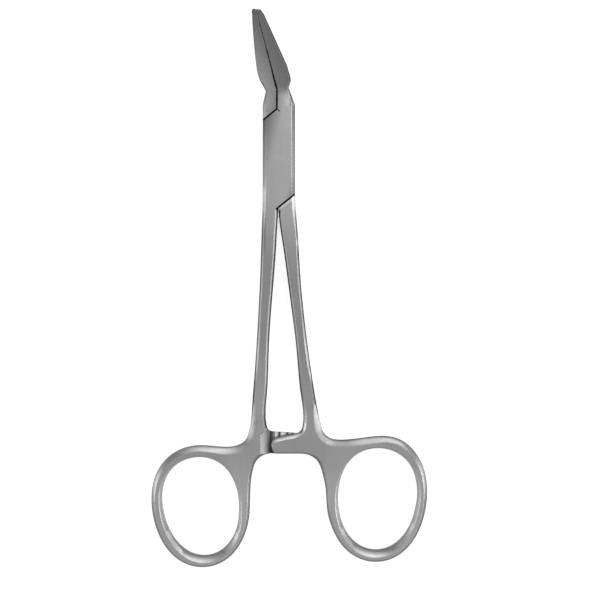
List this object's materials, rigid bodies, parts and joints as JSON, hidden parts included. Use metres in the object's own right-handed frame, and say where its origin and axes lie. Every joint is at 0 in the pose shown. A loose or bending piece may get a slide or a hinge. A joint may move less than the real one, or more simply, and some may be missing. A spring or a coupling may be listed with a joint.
{
  "type": "splinter forceps",
  "caption": "Box-joint splinter forceps with fine serrated jaws bent to one side, two finger rings and a ratchet lock.",
  "frame": {"origin": "on the pivot axis, in the flat back face of the box on which the instrument lies", "axes": "+Y from the finger rings to the jaws, +X to the right seen from the front, +Z out of the front face along the pivot axis"},
  "size_m": [0.0692, 0.1401, 0.0048],
  "materials": {
    "satin_steel": "satin-ground stainless steel, duller on the jaws",
    "pin_steel": "pin end ground flush and polished out with the box"
  },
  "bodies": {
    "box_half": {"female_half": "satin_steel", "pivot_pin": "pin_steel"},
    "tongue_half": {"male_half": "satin_steel"}
  },
  "joints": [
    {"name": "pivot", "type": "hinge", "parent": "box_half", "child": "tongue_half", "pos_m": [0, 0, 0.0024], "axis": [0, 0, 1], "range_deg": [0, 70]}
  ]
}
